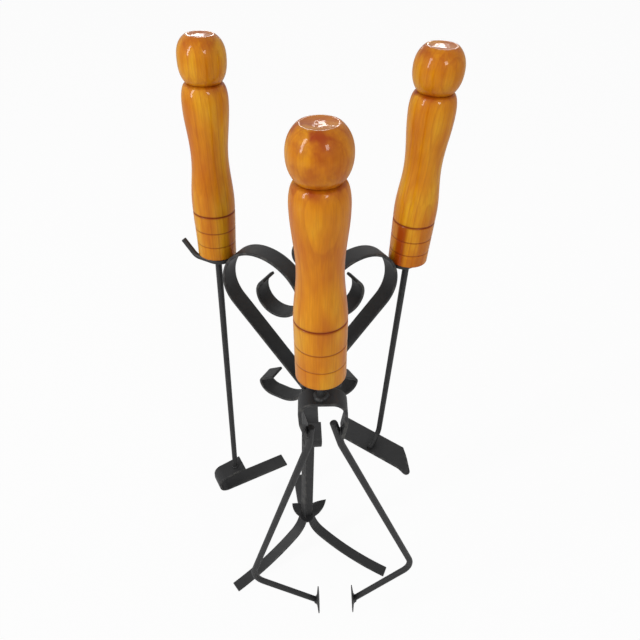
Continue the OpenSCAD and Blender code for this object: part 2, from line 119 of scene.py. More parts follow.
# Handles: length, base that the hooks fit, each foot; then radius and height of the
# swell, waist, belly and neck, and heights of the three burned grooves
HANDLE_LEN, BASE_R, FOOT_R = 204, 19.6, [19.6, 20.0, 21.0]
SWELL_R, WAIST_R, BELLY_R, NECK_R = 21.0, 17.5, 20.9, 16.3
SWELL_Z, WAIST_Z, BELLY_Z, NECK_Z = 55, 102, 150, 166
GROOVES = [[14.5, 30.2, 48], [13.6, 28.8, 45.7], [17.7, 35.3, 57.9]]
# Ball: middle, half height above it, share of that where the top is cut, radius, power
BALL_MID, BALL_HALF, BALL_CUT = [185.5, 184.5, 184.2], [21, 22, 22.4], [0.85, 0.79, 0.785]
BALL_SIZE, BALL_POWER = [21.2, 21.8, 21.8], [2.45, 2.2, 2.15]
# How much stain the ball holds, and a strip of painted shade down one side of the base:
# middle and half width in degrees round the handle, and depth
BALL_STAIN = [0.1, 0.15, 0.6]
PAINTED_SHADE_STRIP = [(176, 15, 0.45), (200, 17, 0.9), (0, 10, 0)]

# Tools' rods, and the length of rod inside the handle
ROD_D, TANG = 7, 60

# Tongs: the bow's drop below the handle, its bends, half its span, its shift to the
# side, the slit at its hinges, how far a leg runs on up inside the crown past it, the
# lean of the halves, and a leg's straight, bend and toe
BOW_DROP, BOW_R, BOW_HALF, BOW_SIDE, SLIT, LEG_HIDDEN, HALF_LEAN = 27, 12, 20, 1.5, 0.3, 1.8, 2.5
BOW_LEG, TOE_BEND, TOE = 11, (15, 12), (17.5, 0)
# Tongs' arms: how deep the weld bites; the root's lean, reach up and down from its
# weld, and bend at the knee; the splay below the knee. Angles are from the vertical
WELD_BITE, ROOT_UP, ROOT_DOWN, ROOT_LEAN, ROOT_BEND, SPLAY = 1.2, [5, 12], 19, [8, 12], 25, 19.3
# Knee to elbow, slope of the foot, bend at the elbow, gap between the gripping discs
ARM_UPPER, FOOT_SLOPE, ARM_BEND, GRIP_GAP = [251, 234], [50, 42], 26, 41
DISC_R, DISC_T = 16, 2.5

# Scraper: the flange starts past its rod and slopes under it, and the bar bends back
SCRAPER_LEN, SCRAPER_W, SCRAPER_TURN, FLANGE_OVER, FLANGE_TILT = 348, 21.5, -123.3, 11, 12
SCRAPER_PATH = [(30, 0), (11, 78), (6, 0), (11, 94), (92.7, 0)]

# Shovel: reach of the blade each way from the rod, corner where the slanted edge starts,
# round of the point, the rod's bend, how far its lying end stops short of the blade's
# near edge, and the blade's turned-down end
SHOVEL_LEN, SHOVEL_TURN, SHOVEL_T = 295, -65.9, 3
SHOVEL_FAR, SHOVEL_NEAR, SHOVEL_FRONT, SHOVEL_BACK, SHOVEL_CORNER = 7.5, 26.9, 63, 53, 37
SHOVEL_ROUND, SHOVEL_R, LYING_END = 6, 20, 4
TIP_BEND_R, TIP_DROP, TIP_LEN = 20, 28, 10

# Rounding of a bar's edges and ends, spacing of the rings along it, angles of the rings
# that round off an end, and how many rings an end then has
SOFT, STEP = 0.7, 1.6
QUARTER = np.radians([22, 45, 68, 84])
END = len(QUARTER) + 1


# ---- Places -----------------------------------------------------------------------
def turned(axis, angle):
    """Turn about an axis, as a 4 x 4 matrix."""
    c, s = np.cos(np.radians(angle)), np.sin(np.radians(angle))
    i, j = {"x": (1, 2), "y": (2, 0), "z": (0, 1)}[axis]
    m = np.eye(4)
    m[i, i], m[i, j], m[j, i], m[j, j] = c, -s, s, c
    return m


def moved(x, y, z):
    """Shift, as a 4 x 4 matrix."""
    m = np.eye(4)
    m[:3, 3] = x, y, z
    return m


def placed(skin, m):
    """A skin moved and turned by a 4 x 4 matrix."""
    return {**skin, "grid": skin["grid"] @ m[:3, :3].T + m[:3, 3]}


# ---- Sections and centre lines --------------------------------------------------------
def around(sides):
    """Angles of so many places, evenly round a circle."""
    return np.arange(sides) * 2 * np.pi / sides


def unit(v):
    """Directions of length 1."""
    return v / np.linalg.norm(v, axis=-1, keepdims=True)


def lengths(points):
    """Length along a line of points, from its first to each of them."""
    return np.concatenate([[0], np.cumsum(np.linalg.norm(np.diff(points, axis=0), axis=1))])


def sine_noise(x, seed, pitch):
    """Smooth noise from -1 to 1: the mean of five sines of about that pitch."""
    rng = np.random.default_rng(seed)
    k = 2 * np.pi / (pitch * rng.uniform(0.6, 1.7, 5))
    return np.sin(np.asarray(x)[..., None] * k + rng.uniform(0, 2 * np.pi, 5)).mean(-1)


def flat_section(w, t, soft=SOFT):
    """Rounded rectangle, anticlockwise: a quarter circle about each corner's
    middle, and points along the wide sides. Returns the middles, the directions
    out from them, the reach, and 1 on the worn edges."""
    arc = np.radians(np.linspace(0, 90, 5))
    x, y = w / 2 - soft, t / 2 - soft
    middles, outs, worn = [], [], []
    for k, (sx, sy) in enumerate([(1, 1), (-1, 1), (-1, -1), (1, -1)]):
        middles.append(np.tile([sx * x, sy * y], (5, 1)))
        outs.append(np.stack([np.cos(arc + k * np.pi / 2), np.sin(arc + k * np.pi / 2)], 1))
        worn.append(np.ones(5))
        if k % 2 == 0:
            run = sx * np.array([x - 1, x / 2, 0, -x / 2, 1 - x])
            middles.append(np.stack([run, np.full(5, sy * y)], 1))
            outs.append(np.tile([0, sy], (5, 1)))
            worn.append(np.zeros(5))
    return np.concatenate(middles), np.concatenate(outs), soft, np.concatenate(worn)


def round_section(d):
    """Circle of diameter d, as flat_section() gives a rectangle, worn a little all round."""
    a = around(28)
    return np.zeros((28, 2)), np.stack([np.cos(a), np.sin(a)], 1), d / 2, np.full(28, 0.15)


FLAT, ROUND = flat_section(BAR_W, BAR_T), round_section(ROD_D)


def centre_line(start, path):
    """Stations x, z, heading of a bar in its own plane. A straight goes on along
    its heading h. An arc of radius r turns left from h to h', which adds
    r (sin h' - sin h) to x and r (cos h - cos h') to z."""
    parts = [np.array([start], float)]
    for size, turn in path:
        x, z, h = parts[-1][-1]
        if turn == 0:
            s = np.linspace(0, size, int(size / STEP) + 2)[1:, None]
            straight = [x + s * np.cos(np.radians(h)), z + s * np.sin(np.radians(h)), np.full_like(s, h)]
            parts.append(np.hstack(straight))
            continue
        a = np.linspace(h, h + turn, int(size * np.radians(abs(turn)) / STEP) + 3)[1:, None]
        r, to, at = size, np.radians(a), np.radians(h)
        parts.append(np.hstack([x + r * (np.sin(to) - np.sin(at)), z + r * (np.cos(at) - np.cos(to)), a]))
    return np.concatenate(parts)


def bar_frames(start, path):
    """Points on a bar's centre line, with its width and its normal as the
    section's two directions."""
    line = centre_line(start, path)
    h, zero = np.radians(line[:, 2]), np.zeros(len(line))
    at = np.stack([line[:, 0], zero, line[:, 1]], 1)
    return at, np.tile([0.0, 1, 0], (len(line), 1)), np.stack([-np.sin(h), zero, np.cos(h)], 1)


def rod_frames(stretches):
    """Points on a rod's centre line and its section's two directions. The rod
    starts at the origin along +Z. A stretch is length, radius, angle, roll: a
    straight, then a bend towards +X turned about the rod by the roll."""
    at, turn = np.zeros(3), np.eye(3)
    points, turns = [at[None]], [turn[None]]
    for length, radius, angle, roll in stretches:
        s = np.linspace(0, length, int(length / STEP) + 2)[1:, None]
        points.append(at + s * turn[:, 2])
        turns.append(np.tile(turn, (len(s), 1, 1)))
        at = points[-1][-1]
        if angle == 0:
            continue
        a = np.radians(np.linspace(0, angle, int(radius * np.radians(angle) / STEP) + 3)[1:])
        c, s, o = np.cos(a), np.sin(a), np.zeros(len(a))
        bend = np.stack([c, o, s, o, o + 1, o, -s, o, c], 1).reshape(-1, 3, 3)
        roll_in = turned("z", roll)[:3, :3]
        points.append(at + np.stack([radius * (1 - c), o, radius * s], 1) @ (turn @ roll_in).T)
        turns.append(turn @ roll_in @ bend @ roll_in.T)
        at, turn = points[-1][-1], turns[-1][-1]
    turns = np.concatenate(turns)
    return np.concatenate(points), turns[:, :, 0], turns[:, :, 1]


def upright(z0, z1):
    """Frames of a straight bar or rod along +Z, a ring every 4 mm or so."""
    z = np.linspace(z0, z1, int((z1 - z0) / 4) + 2)
    o = np.zeros_like(z)
    return np.stack([o, o, z], 1), np.tile([1.0, 0, 0], (len(z), 1)), np.tile([0, 1.0, 0], (len(z), 1))


# ---- Places worked out from the sizes ---------------------------------------------------
# Middle of an arm's lobe, from which the handles' feet and the post's top follow
LOBE_X, LOBE_Z = centre_line(ARM_START, ARM_PATH[:2])[-1][:2] - [LOBE_R, 0]
HANG_Z = LOBE_Z + HANG_RISE
POST_TOP = HANG_Z + POST_OVER


def lobe_out(z, past):
    """Distance from the post's axis, at height z, of the circle that lies past the
    lobe's centre line."""
    return LOBE_X + np.sqrt((LOBE_R + past) ** 2 - (z - LOBE_Z) ** 2)


HANG_R = [lobe_out(HANG_Z, BAR_T / 2) + BASE_R + gap for gap in HANG_GAP]
HOOK_Z = -HOOK_GAP - HOOK_D / 2
HOOK_ROOT = lobe_out(HANG_Z + HOOK_Z, BAR_T / 2 + HOOK_D / 2 - HOOK_FLAT)

# The legs' top, from a path that ends on the floor, and the post's foot between them
LEG_PATH = [(LEG_WELD / np.sin(np.radians(LEG_DIP)), 0), LEG_KNEE, LEG_LONG]
_, LEG_FALL, LEG_SLOPE = centre_line((0, 0, -LEG_DIP), LEG_PATH)[-1]
LEG_TOP = LEG_T / 2 / np.cos(np.radians(LEG_SLOPE)) - FOOT_FLAT - LEG_FALL
LEG_START = ((POST_W + LEG_T) / 2 - LEG_WELD / np.tan(np.radians(LEG_DIP)), LEG_TOP, -LEG_DIP)
POST_FOOT = LEG_TOP - 1.5 * LEG_WELD

# Hinges of the tongs, and in a half's own coordinates the toe of the bow's leg, the
# weld beside it, the left arm's knee, which the right arm shares, and the grip's face
HINGE_Z = -BOW_DROP - BAR_T / 2 - BOW_R - SLIT / 2
TOE_X, TOE_Z, TOE_HEADING = centre_line((0, -SLIT / 2, -90), [(BOW_LEG, 0), TOE_BEND, TOE])[-1]
ASIDE = BAR_T / 2 + ROD_D / 2 - WELD_BITE
KNEE_X = TOE_X - ASIDE * np.sin(np.radians(TOE_HEADING)) - ROOT_DOWN * np.sin(np.radians(ROOT_LEAN[LEFT]))
KNEE_Z = TOE_Z + ASIDE * np.cos(np.radians(TOE_HEADING)) - ROOT_DOWN * np.cos(np.radians(ROOT_LEAN[LEFT]))
GRIP_X = BOW_HALF - GRIP_GAP / 2 - DISC_T


def hang(i):
    """Where a tool hangs: the middle of its handle's lower end, +X away from the post."""
    return turned("z", ARM_AZ[i]) @ moved(HANG_R[i], HANG_SIDE[i], HANG_Z) @ turned("x", HANG_LEAN)


def half(i):
    """Root of one half of the tongs, +X inwards."""
    side = -1 if i == LEFT else 1
    return (hang(FRONT) @ moved(0, BOW_SIDE + side * BOW_HALF, HINGE_Z)
            @ turned("x", HALF_LEAN) @ turned("z", -90 * side))


# ---- Surfaces -------------------------------------------------------------------------
def swept(frames, section, seed, seat=None):
    """A section carried along a centre line. A ring is its point plus the
    section's places along the ring's two directions, a flat bar's corners up to
    0.6% nearer the middle as a slow noise says. More rings draw in along a quarter
    circle at each end, and a flat cap closes it. With a seat, the rings of the
    first end slide along the line to the plane x = seat."""
    at, across, normal = frames
    middles, outs, reach, worn = section
    way = np.cross(across, normal)
    inward, along = SOFT * (1 - np.cos(QUARTER)), SOFT * np.sin(QUARTER)[:, None]
    first, last = at[0] + SOFT * way[0], at[-1] - SOFT * way[-1]
    points = np.concatenate([first - along[::-1] * way[0], [first], at[1:-1],
                             [last], last + along * way[-1]])
    more = END - 1
    across, normal = [np.concatenate([d[:1].repeat(more, 0), d, d[-1:].repeat(more, 0)])
                      for d in (across, normal)]
    inset = np.concatenate([inward[::-1], np.zeros(len(at)), inward])
    size = 1 - 0.006 * (1 + sine_noise(lengths(points), seed, 26)) / 2
    flat = middles * size[:, None, None] + (reach - inset)[:, None, None] * outs
    grid = points[:, None] + flat[..., :1] * across[:, None] + flat[..., 1:] * normal[:, None]
    if seat:
        end = grid[:END]
        end += ((seat - end[..., 0]) / way[0][0])[..., None] * way[0]
    return {"grid": grid, "worn": np.tile(worn, (len(grid), 1))}


def lathed(r, z):
    """A profile of radius r at height z, turned about the Z axis."""
    a = around(96)
    return {"grid": np.stack([r[:, None] * np.cos(a), r[:, None] * np.sin(a), np.tile(z[:, None], 96)], -1)}


def bead(points, radius, side=(0, 0, 1), closed=False):
    """A weld bead along a line: a tube 3/4 as high as it is wide, whose radius
    swells once per pitch, as the puddle was moved on, and thins to nothing at the
    bead's ends."""
    pitch, height = 2.2, 0.75
    points = np.asarray(points, float)
    way = unit(np.roll(points, -1, 0) - np.roll(points, 1, 0) if closed else np.gradient(points, axis=0))
    across = unit(np.cross(np.asarray(side, float), way))
    up = np.cross(way, across)
    run = lengths(points)
    size = radius * (1 + 0.13 * np.cos(2 * np.pi * run / pitch) + 0.12 * sine_noise(run, len(points), 5))
    if not closed:
        share = run / run[-1]
        size = size * np.sqrt(np.clip(1 - np.abs(2 * share - 1) ** 6, 0.02, 1))
    a = around(14)
    ring = size[:, None, None] * np.stack([np.cos(a), height * np.sin(a)], 1)
    grid = points[:, None] + ring[..., :1] * across[:, None] + ring[..., 1:] * up[:, None]
    return {"grid": grid, "loop": closed}


def straight_bead(start, end, radius, place, side=(0, 0, 1)):
    """A bead from one point to another, in the coordinates of a place."""
    return placed(bead(np.linspace(start, end, 40), radius, side), place)


# ---- Materials ------------------------------------------------------------------------
def colour(text):
    """sRGB hex value to linear RGBA."""
    c = np.array([int(text[i:i + 2], 16) for i in (1, 3, 5)]) / 255
    return (*np.where(c <= 0.04045, c / 12.92, ((c + 0.055) / 1.055) ** 2.4).tolist(), 1)


def add(tree, kind, inputs=None, stops=(), **settings):
    """Adds a node. An input given as a socket is linked, any other is set; stops
    are a colour ramp's places and hex colours or greys."""
    node = tree.nodes.new("ShaderNode" + kind)
    for name, value in settings.items():
        setattr(node, name, value)
    for name, value in (inputs or {}).items():
        if isinstance(value, bpy.types.NodeSocket):
            tree.links.new(value, node.inputs[name])
        else:
            node.inputs[name].default_value = value
    for k, (where, value) in enumerate(stops):
        dots = node.color_ramp.elements
        dot = dots[k] if k < 2 else dots.new(where)
        dot.position = where
        dot.color = colour(value) if isinstance(value, str) else (value, value, value, 1)
    return node


def per(size):
    """Scale of a pattern whose features are about size millimetres across."""
    return 1 / (size * MM)


def new_material(name):
    """An empty material, and its nodes and links."""
    material = bpy.data.materials.new(name)
    material.use_nodes = True
    material.node_tree.nodes.clear()
    return material, material.node_tree


def black_satin_paint():
    """Black satin paint brushed on forged mild steel: a dark even tone with a
    broad sheen, a slight orange peel, and paint rubbed thin on the edges."""
    material, tree = new_material("black_satin_paint_on_steel")
    place = add(tree, "TexCoord").outputs["Object"]
    cloud = add(tree, "TexNoise", {"Vector": place, "Scale": per(24), "Detail": 3.0}).outputs["Fac"]
    grit = add(tree, "TexNoise", {"Vector": place, "Scale": per(1.1), "Detail": 2.0}).outputs["Fac"]
    tone = add(tree, "ValToRGB", {"Fac": cloud}, [(0.3, "#202021"), (0.7, "#2b2b2c")])
    speck = add(tree, "ValToRGB", {"Fac": grit}, [(0.35, "#1b1b1c"), (0.68, "#323232")])
    body = add(tree, "Mix", {"Factor": 0.3, "A": tone.outputs["Color"], "B": speck.outputs["Color"]},
               data_type="RGBA")
    # Grey steel shows in patches along the edges
    edge = add(tree, "Attribute", attribute_name="worn").outputs["Fac"]
    wear = add(tree, "TexNoise", {"Vector": place, "Scale": per(7), "Detail": 4.0}).outputs["Fac"]
    patch = add(tree, "ValToRGB", {"Fac": wear}, [(0.48, 0.0), (0.62, 0.55)])
    rub = add(tree, "Math", {0: edge, 1: patch.outputs["Color"]}, operation="MULTIPLY").outputs[0]
    finish = add(tree, "Mix", {"Factor": rub, "A": body.outputs["Result"], "B": colour("#55534f")},
                 data_type="RGBA")
    # Hammer marks under the paint, and its orange peel
    dents = add(tree, "TexNoise", {"Vector": place, "Scale": per(9), "Detail": 1.0}).outputs["Fac"]
    low = add(tree, "Bump", {"Height": dents, "Strength": 0.5, "Distance": 0.6 * MM})
    peel = add(tree, "Bump", {"Height": grit, "Strength": 0.35, "Distance": 0.12 * MM,
                              "Normal": low.outputs[0]})
    sheen = add(tree, "MapRange", {"Value": cloud, "To Min": 0.42, "To Max": 0.58})
    shader = add(tree, "BsdfPrincipled", {
        "Base Color": finish.outputs["Result"], "Roughness": sheen.outputs[0], "IOR": 1.5,
        "Normal": peel.outputs[0]})
    add(tree, "OutputMaterial", {"Surface": shader.outputs[0]})
    return material


def varnished_pine():
    """Pine turned on a lathe, stained amber and varnished: growth rings cut
    along their length, fine fibres, a strip of painted shade down one side of the base,
    brown where stain gathered and where the grooves were burned in, all under a clear glossy coat."""
    material, tree = new_material("amber_varnished_turned_pine")
    grain = add(tree, "Attribute", attribute_name="grain").outputs["Vector"]
    painted_shade, stain, burn = [add(tree, "Attribute", attribute_name=name).outputs["Fac"]
                          for name in ("painted_shade", "stain", "burn")]
    # Noises drawn out along the grain: the sway of the rings, the fibres, cloudy tone.
    # Real fibres are far finer, and 1.2 mm is as coarse as they need to be to show
    sway, fibre, cloud = [add(tree, "TexNoise", {
        "Vector": add(tree, "Mapping", {"Vector": grain, "Scale": (1, 1, squeeze)}).outputs[0],
        "Scale": per(width), "Detail": detail})
        for squeeze, width, detail in [(0.18, 22, 2.0), (0.03, 1.2, 3.0), (0.3, 20, 3.0)]]
    bent = add(tree, "Mix", {"Factor": 0.006, "A": grain, "B": sway.outputs["Color"]}, data_type="VECTOR")
    # Rings 6.2 mm apart about the tree's pith, darkening to latewood. A wave
    # texture of scale s repeats every 2 pi / (20 s)
    rings = add(tree, "TexWave", {"Vector": bent.outputs["Result"], "Scale": 2 * np.pi / 20 * per(6.2),
                                  "Distortion": 0.0, "Detail": 0.0},
                wave_type="RINGS", rings_direction="Z", wave_profile="SAW")
    late = add(tree, "ValToRGB", {"Fac": rings.outputs["Fac"]},
               [(0.0, 0.0), (0.7, 0.05), (0.93, 0.34), (1.0, 0.0)]).outputs["Color"]
    streak = add(tree, "ValToRGB", {"Fac": fibre.outputs["Fac"]},
                 [(0.36, 0.22), (0.6, 0.0)]).outputs["Color"]
    blotch = add(tree, "TexNoise", {"Vector": grain, "Scale": per(12), "Detail": 3.0}).outputs["Fac"]
    soak = add(tree, "ValToRGB", {"Fac": blotch}, [(0.4, 0.1), (0.62, 1.0)]).outputs["Color"]
    brown = add(tree, "Math", {0: stain, 1: soak}, operation="MULTIPLY").outputs[0]
    wood = add(tree, "ValToRGB", {"Fac": cloud.outputs["Fac"]},
               [(0.34, "#cb7203"), (0.5, "#dc8c08"), (0.66, "#e6a41c")]).outputs["Color"]
    # Darker tones laid over the wood: latewood, fibres, painted shade down one side of the base (#a03200),
    # stain, burned grooves
    for share, shade in [(late, "#b35403"), (streak, "#a85002"), (painted_shade, "#a03200"),
                         (brown, "#a03c04"), (burn, "#7a2404")]:
        wood = add(tree, "Mix", {"Factor": share, "A": wood, "B": colour(shade)},
                   data_type="RGBA").outputs["Result"]
    # Pores in the wood, brush marks in the varnish, and none of it left in a burn
    pores = add(tree, "Bump", {"Height": fibre.outputs["Fac"], "Strength": 0.25, "Distance": 0.08 * MM})
    brush = add(tree, "TexNoise", {"Vector": grain, "Scale": per(9), "Detail": 2.0}).outputs["Fac"]
    film = add(tree, "Bump", {"Height": brush, "Strength": 0.3, "Distance": 0.6 * MM})
    clear = add(tree, "MapRange", {"Value": burn, "To Min": 0.4, "To Max": 0.05}).outputs[0]
    shader = add(tree, "BsdfPrincipled", {
        "Base Color": wood, "Roughness": 0.45, "IOR": 1.5, "Specular IOR Level": 0.12,
        "Normal": pores.outputs[0], "Coat Weight": clear, "Coat Roughness": 0.06, "Coat IOR": 1.5,
        "Coat Normal": film.outputs[0]})
    add(tree, "OutputMaterial", {"Surface": shader.outputs[0]})
    return material


PAINT, PINE = black_satin_paint(), varnished_pine()


# ---- Pieces -----------------------------------------------------------------------------
def piece(name, body, skins, nodes=(), material=PAINT, sharp=38):
    """Puts skins into one mesh. A skin is a grid of points, rings by places
    around: quads join each ring to the next, and a cap closes each end, unless
    the skin is a loop, whose last ring joins its first. It may also give each
    point its place in the grain and its shares of the other values."""
    points, faces, first = [], [], 0
    values = {"worn": [], "burn": [], "stain": [], "painted_shade": [], "grain": []}
    for skin in skins:
        grid = np.asarray(skin["grid"])
        n, m = grid.shape[:2]
        ids = first + np.arange(n * m).reshape(n, m)
        rings = np.concatenate([ids, ids[:1]]) if skin.get("loop") else ids
        wrap = np.concatenate([rings, rings[:, :1]], 1)
        quads = np.stack([wrap[:-1, :-1], wrap[:-1, 1:], wrap[1:, 1:], wrap[1:, :-1]], -1)
        faces += quads.reshape(-1, 4).tolist()
        if not skin.get("loop"):
            faces += [ids[0, ::-1].tolist(), ids[-1].tolist()]
        for key in values:
            size = 3 if key == "grain" else 1
            values[key].append(np.asarray(skin.get(key, np.zeros((n, m, size)))).reshape(n * m, size))
        points.append(grid.reshape(-1, 3))
        first += n * m
    mesh = bpy.data.meshes.new(name)
    mesh.from_pydata((np.concatenate(points) * MM).tolist(), [], faces)
    for key, value in values.items():
        value = np.concatenate(value)
        if value.any():
            kind, field = ("FLOAT_VECTOR", "vector") if key == "grain" else ("FLOAT", "value")
            attribute = mesh.attributes.new(key, kind, "POINT")
            attribute.data.foreach_set(field, value.ravel().astype(np.float32))
    mesh.polygons.foreach_set("use_smooth", np.ones(len(mesh.polygons), bool))
    mesh.set_sharp_from_angle(angle=np.radians(sharp))
    mesh.materials.append(material)
    obj = put(name, mesh)
    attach(obj, body)
    if nodes:
        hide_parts(*nodes)
    return obj


# ---- Stand ------------------------------------------------------------------------------
def make_post():
    """Square bar, and a ring on its top: a small circle carried round a large one.
    The ring's lowest 0.5 mm is let into the bar."""
    bar = swept(upright(POST_FOOT, POST_TOP), flat_section(POST_W, POST_W, POST_SOFT), 1)
    piece("post_bar", "stand", [placed(bar, turned("z", ARM_AZ[RIGHT]))], ["post"])
    a, b = around(120), around(24)
    reach = RING_R - RING_D / 2 + RING_D / 2 * np.cos(b)
    ring = np.stack([np.cos(a)[:, None] * reach, np.tile(-RING_D / 2 * np.sin(b), (120, 1)),
                     np.sin(a)[:, None] * reach + POST_TOP + RING_R - 0.5], -1)
    piece("finger_ring", "stand", [{"grid": ring[::-1], "loop": True}], ["post_ring"])


def make_bars():
    """Arms, small scrolls and legs: flat bar bent in planes through the post's axis."""
    # Bars on the post start just inside its face
    seat = POST_W / 2 - 0.1
    for i, name in enumerate(SIDES):
        out = turned("z", ARM_AZ[i])
        arm = swept(bar_frames(ARM_START, ARM_PATH), FLAT, 10 + i, seat)
        piece(f"arm_{name}_bar", "stand", [placed(arm, out)], [f"arm_{name}"])
        start = (0, SCROLL_ROOT - SCROLL_DROP[i], -SCROLL_DIP)
        scroll = swept(bar_frames(start, SCROLL_PATH), FLAT, 20 + i, seat)
        scroll = placed(scroll, turned("z", SCROLL_TURN[i]))
        piece(f"scroll_{name}_bar", "stand", [placed(scroll, out)], [f"scroll_{name}"])
    section = flat_section(LEG_W, LEG_T)
    for i, name in [(LEFT, "left"), (FRONT, "right"), (RIGHT, "back")]:
        leg = swept(bar_frames(LEG_START, LEG_PATH), section, 30 + i)
        # A foot is flat where it would dip below the floor
        leg["grid"][..., 2] = np.maximum(leg["grid"][..., 2], 0)
        leg = placed(leg, turned("z", ARM_AZ[i] + LEG_TURN))
        piece(f"leg_{name}_bar", "stand", [leg], [f"leg_{name}"])


def make_collar():
    """Three leaves cut from one dished plate. The plate's edge is where a ray
    from the axis leaves the lens of its nearest leaf; the section goes out along
    the top, round the rim and back underneath. The dish is part of a ball."""
    # Rays crowd towards the middle of each leaf, where its point is
    u = np.linspace(-1, 1, 181)[:-1]
    off = 60 * np.sign(u) * np.abs(u) ** 1.8
    a = np.radians(np.abs(off))
    edge = []
    for i in (RIGHT, LEFT, FRONT):
        mid = LEAF_REACH[i] / 4
        arc = ((LEAF_REACH[i] - mid) ** 2 + LEAF_HALF ** 2) / (2 * LEAF_HALF)
        # Ray from the axis to the circle of radius arc about (mid, LEAF_HALF - arc)
        dot = mid * np.cos(a) + (LEAF_HALF - arc) * np.sin(a)
        edge.append(dot + np.sqrt(dot ** 2 - mid ** 2 - (LEAF_HALF - arc) ** 2 + arc ** 2))
    edge = np.concatenate(edge)
    theta = np.radians(np.concatenate([off + ARM_AZ[i] for i in (RIGHT, LEFT, FRONT)]))
    inner, lip = 4.0, 0.9
    rim = np.radians(np.linspace(68, -68, 7))
    out = np.linspace(0, 1, 24)
    share = np.concatenate([out, np.ones(7), out[::-1]])
    past = np.concatenate([0 * out, lip * np.cos(rim), 0 * out])
    high = np.concatenate([0 * out + 1, np.sin(rim), 0 * out - 1])
    rho = inner + share[:, None] * (edge - lip - inner) + past[:, None]
    bowl = (max(LEAF_REACH) ** 2 + LEAF_RISE ** 2) / (2 * LEAF_RISE)
    z = LEG_TOP + LEAF_T / 2 + bowl - np.sqrt(bowl ** 2 - rho ** 2) + high[:, None] * LEAF_T / 2
    grid = np.stack([rho * np.cos(theta), rho * np.sin(theta), z], -1)
    piece("leaf_collar_plate", "stand", [{"grid": grid[::-1], "loop": True}], ["leaf_collar"], sharp=30)


def make_hooks():
    """Two-pronged hooks: one round bar bent into a U, its root welded to the lobe.
    The far prong turns up at the edge of the handle's base. On the front hook it
    is plain."""
    section = round_section(HOOK_D)
    for i, name in enumerate(SIDES):
        mid = HOOK_ROOT + HOOK_R[i] - HANG_R[i]
        bend = (PRONG_START - mid, HOOK_R[i], 180, 0)
        edge = np.sqrt(BASE_R ** 2 - (HOOK_R[i] - HOOK_D / 2) ** 2)
        rest = [(edge - 3 - mid, PRONG_BEND, PRONG_RISE, -90), (PRONG_TIP, 0, 0, 0)]
        if i == FRONT:
            rest = [(PRONG_END - mid, 0, 0, 0)]
        bar = swept(rod_frames([bend] + rest), section, 40 + i)
        m = hang(i) @ moved(PRONG_START, -HOOK_R[i], HOOK_Z) @ turned("y", -90) @ turned("z", 90)
        piece(f"hook_{name}_rod", "stand", [placed(bar, m)], [f"hook_{name}"])


def make_stand_welds():
    """Beads where the bars meet the post, the hooks meet the lobes and the legs
    meet the post's foot."""
    beads = []
    for i in (LEFT, RIGHT, FRONT):
        out = turned("z", ARM_AZ[i])
        # The right arm meets a flat of the post, the others stand 30 degrees off one
        face = POST_W / 2 if i == RIGHT else POST_W / 2 / np.cos(np.radians(30))
        # Above the arm's root, which slopes up 1 in 1, and below the scroll's, 1.33 down
        over, under = ARM_START[1] + face + 2.6, SCROLL_ROOT - SCROLL_DROP[i] - 1.33 * face - 2.4
        for z, radius in [(over, 2.2), (under, 2.0)]:
            beads.append(straight_bead([face + 0.2, -6, z], [face + 0.2, 6, z], radius, out))
        # Where the arm's lobe leans on the post
        x, z = face + 1.0, HANG_Z - 0.6
        beads.append(straight_bead([x, 0, z - 7], [x, 0, z + 7], 2.0, out, side=(1, 0, 0)))
        # Above and below the hook's root
        x, y, z, _ = np.linalg.inv(out) @ hang(i) @ [HOOK_ROOT - HANG_R[i], 0, HOOK_Z, 1]
        for dz in (2.2, -2.2):
            beads.append(straight_bead([x - 1.2, y - 5, z + dz], [x - 1.2, y + 5, z + dz], 1.5, out))
        leg, z = turned("z", ARM_AZ[i] + LEG_TURN), LEG_TOP - 13.5
        beads.append(straight_bead([7.2, -4.5, z], [7.2, 4.5, z], 2.0, leg))
    piece("stand_welds", "stand", beads)


